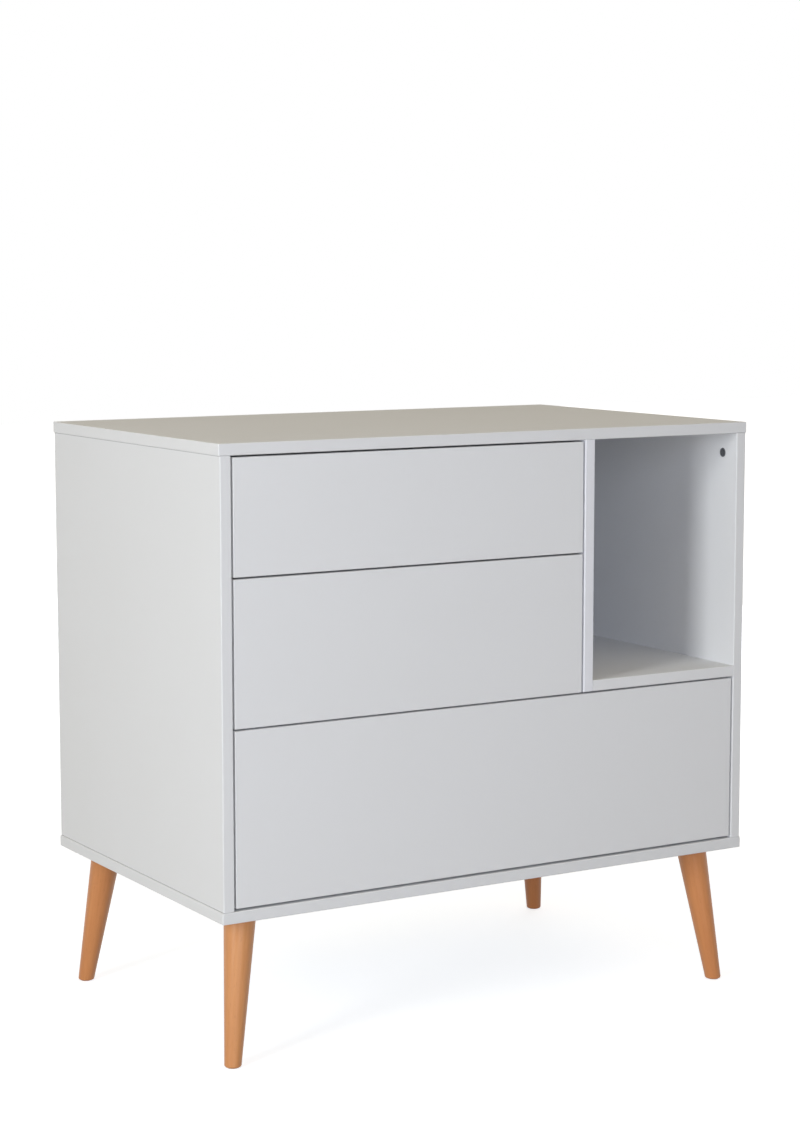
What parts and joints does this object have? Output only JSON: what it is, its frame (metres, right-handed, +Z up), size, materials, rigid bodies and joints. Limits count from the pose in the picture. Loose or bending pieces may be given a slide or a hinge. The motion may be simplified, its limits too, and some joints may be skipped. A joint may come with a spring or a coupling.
{
  "type": "changing dresser",
  "caption": "Pale grey changing dresser with handle-less drawers beside and below an open niche, on splayed tapered wooden legs.",
  "frame": {"origin": "on the floor under the middle of the carcass", "axes": "+X along the width, to the right of someone facing the drawers; +Y into the depth, the drawers open towards -Y; +Z up"},
  "size_m": [0.972, 0.6, 0.943],
  "materials": {
    "lacquered_board": "satin pale grey lacquer",
    "drawer_box_board": "melamine, matt",
    "hardboard": "foil-faced hardboard",
    "lacquered_beech": "satin clear lacquer",
    "dowel_wood": "raw",
    "plated_steel": "zinc plated",
    "bearing_steel": "polished balls in a bright strip",
    "cam_metal": "dull die cast",
    "catch_plastic": "moulded",
    "glide_plastic": "moulded"
  },
  "bodies": {
    "root": {"top_panel": "lacquered_board", "bottom_panel": "lacquered_board", "left_side_panel": "lacquered_board", "right_side_panel": "lacquered_board", "divider": "lacquered_board", "niche_floor": "lacquered_board", "back_panel": "hardboard", "cam_locks": "cam_metal", "cam_bolts": "plated_steel", "dowels": "dowel_wood", "back_panel_screws": "plated_steel", "cabinet_rail_screws": "plated_steel", "front_left_leg": "lacquered_beech", "front_right_leg": "lacquered_beech", "rear_left_leg": "lacquered_beech", "rear_right_leg": "lacquered_beech", "leg_bolts": "plated_steel", "leg_inserts": "plated_steel", "leg_glides": "glide_plastic", "top_drawer_cabinet_rails": "plated_steel", "middle_drawer_cabinet_rails": "plated_steel", "bottom_drawer_cabinet_rails": "plated_steel", "push_catches": "catch_plastic"},
    "top_drawer": {"top_drawer_front": "lacquered_board", "top_drawer_left_side": "drawer_box_board", "top_drawer_right_side": "drawer_box_board", "top_drawer_back": "drawer_box_board", "top_drawer_floor": "hardboard", "top_drawer_dowels": "dowel_wood", "top_drawer_rail_screws": "plated_steel", "top_drawer_rails": "plated_steel"},
    "top_drawer_middle_rails": {"top_drawer_middle_rails": "plated_steel"},
    "top_drawer_outer_ball_cages": {"top_drawer_outer_ball_cages": "bearing_steel"},
    "top_drawer_inner_ball_cages": {"top_drawer_inner_ball_cages": "bearing_steel"},
    "middle_drawer": {"middle_drawer_front": "lacquered_board", "middle_drawer_left_side": "drawer_box_board", "middle_drawer_right_side": "drawer_box_board", "middle_drawer_back": "drawer_box_board", "middle_drawer_floor": "hardboard", "middle_drawer_dowels": "dowel_wood", "middle_drawer_rail_screws": "plated_steel", "middle_drawer_rails": "plated_steel"},
    "middle_drawer_middle_rails": {"middle_drawer_middle_rails": "plated_steel"},
    "middle_drawer_outer_ball_cages": {"middle_drawer_outer_ball_cages": "bearing_steel"},
    "middle_drawer_inner_ball_cages": {"middle_drawer_inner_ball_cages": "bearing_steel"},
    "bottom_drawer": {"bottom_drawer_front": "lacquered_board", "bottom_drawer_left_side": "drawer_box_board", "bottom_drawer_right_side": "drawer_box_board", "bottom_drawer_back": "drawer_box_board", "bottom_drawer_floor": "hardboard", "bottom_drawer_dowels": "dowel_wood", "bottom_drawer_rail_screws": "plated_steel", "bottom_drawer_rails": "plated_steel"},
    "bottom_drawer_middle_rails": {"bottom_drawer_middle_rails": "plated_steel"},
    "bottom_drawer_outer_ball_cages": {"bottom_drawer_outer_ball_cages": "bearing_steel"},
    "bottom_drawer_inner_ball_cages": {"bottom_drawer_inner_ball_cages": "bearing_steel"}
  },
  "joints": [
    {"name": "top_drawer_slide", "type": "slide", "parent": "root", "child": "top_drawer", "axis": [0, -1, 0], "range_m": [-0.0025, 0.48]},
    {"name": "top_drawer_middle_rails_slide", "type": "slide", "parent": "root", "child": "top_drawer_middle_rails", "axis": [0, -1, 0], "range_m": [-0.00125, 0.24]},
    {"name": "top_drawer_outer_ball_cages_slide", "type": "slide", "parent": "root", "child": "top_drawer_outer_ball_cages", "axis": [0, -1, 0], "range_m": [-0.00063, 0.12]},
    {"name": "top_drawer_inner_ball_cages_slide", "type": "slide", "parent": "root", "child": "top_drawer_inner_ball_cages", "axis": [0, -1, 0], "range_m": [-0.00187, 0.36]},
    {"name": "middle_drawer_slide", "type": "slide", "parent": "root", "child": "middle_drawer", "axis": [0, -1, 0], "range_m": [-0.0025, 0.48]},
    {"name": "middle_drawer_middle_rails_slide", "type": "slide", "parent": "root", "child": "middle_drawer_middle_rails", "axis": [0, -1, 0], "range_m": [-0.00125, 0.24]},
    {"name": "middle_drawer_outer_ball_cages_slide", "type": "slide", "parent": "root", "child": "middle_drawer_outer_ball_cages", "axis": [0, -1, 0], "range_m": [-0.00063, 0.12]},
    {"name": "middle_drawer_inner_ball_cages_slide", "type": "slide", "parent": "root", "child": "middle_drawer_inner_ball_cages", "axis": [0, -1, 0], "range_m": [-0.00187, 0.36]},
    {"name": "bottom_drawer_slide", "type": "slide", "parent": "root", "child": "bottom_drawer", "axis": [0, -1, 0], "range_m": [-0.0025, 0.48]},
    {"name": "bottom_drawer_middle_rails_slide", "type": "slide", "parent": "root", "child": "bottom_drawer_middle_rails", "axis": [0, -1, 0], "range_m": [-0.00125, 0.24]},
    {"name": "bottom_drawer_outer_ball_cages_slide", "type": "slide", "parent": "root", "child": "bottom_drawer_outer_ball_cages", "axis": [0, -1, 0], "range_m": [-0.00063, 0.12]},
    {"name": "bottom_drawer_inner_ball_cages_slide", "type": "slide", "parent": "root", "child": "bottom_drawer_inner_ball_cages", "axis": [0, -1, 0], "range_m": [-0.00187, 0.36]}
  ],
  "couplings": [
    {"joint": "top_drawer_middle_rails_slide", "follows": "top_drawer_slide", "ratio": 0.5},
    {"joint": "top_drawer_outer_ball_cages_slide", "follows": "top_drawer_slide", "ratio": 0.25},
    {"joint": "top_drawer_inner_ball_cages_slide", "follows": "top_drawer_slide", "ratio": 0.75},
    {"joint": "middle_drawer_middle_rails_slide", "follows": "middle_drawer_slide", "ratio": 0.5},
    {"joint": "middle_drawer_outer_ball_cages_slide", "follows": "middle_drawer_slide", "ratio": 0.25},
    {"joint": "middle_drawer_inner_ball_cages_slide", "follows": "middle_drawer_slide", "ratio": 0.75},
    {"joint": "bottom_drawer_middle_rails_slide", "follows": "bottom_drawer_slide", "ratio": 0.5},
    {"joint": "bottom_drawer_outer_ball_cages_slide", "follows": "bottom_drawer_slide", "ratio": 0.25},
    {"joint": "bottom_drawer_inner_ball_cages_slide", "follows": "bottom_drawer_slide", "ratio": 0.75}
  ]
}
